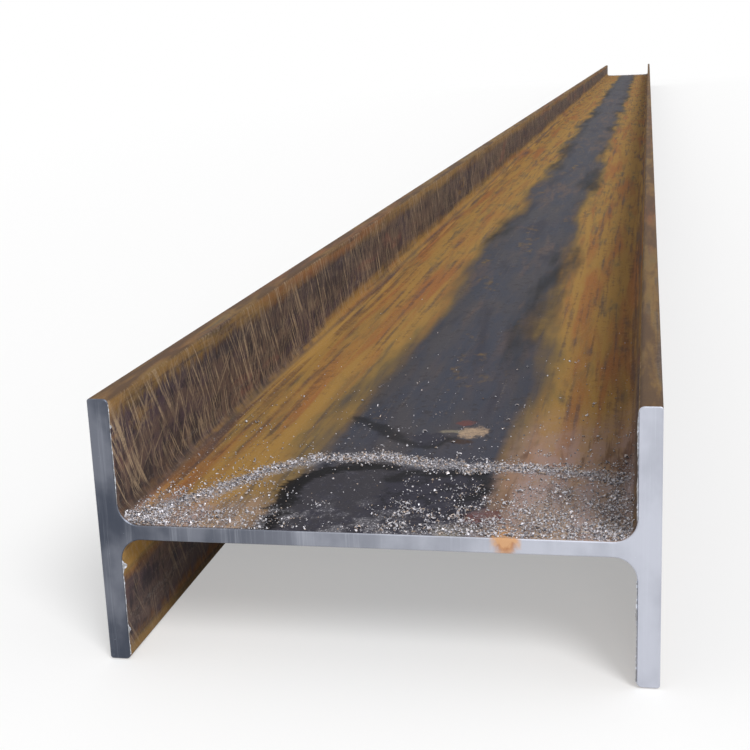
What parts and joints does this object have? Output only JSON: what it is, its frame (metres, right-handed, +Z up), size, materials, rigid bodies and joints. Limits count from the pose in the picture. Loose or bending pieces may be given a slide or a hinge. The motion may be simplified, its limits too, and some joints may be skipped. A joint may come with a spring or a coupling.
{
  "type": "steel h-beam",
  "caption": "Hot-rolled H-section steel beam with parallel flanges and a thin web, cut square at both ends, lying with its web level on its flange toes.",
  "frame": {"origin": "on the ground under the middle of the beam: mid-length, midway between the flanges, at the level of the lower flange toes", "axes": "+X across the section from the left to the right flange, +Y along the beam away from the pictured end, +Z up, square to the web"},
  "size_m": [0.2, 6, 0.1],
  "materials": {
    "rolled_steel": "blue-grey mill scale with bands of orange rust, scratches and saw chips; bare saw-cut ends"
  },
  "bodies": {
    "root": {"h_beam": "rolled_steel"}
  },
  "joints": []
}
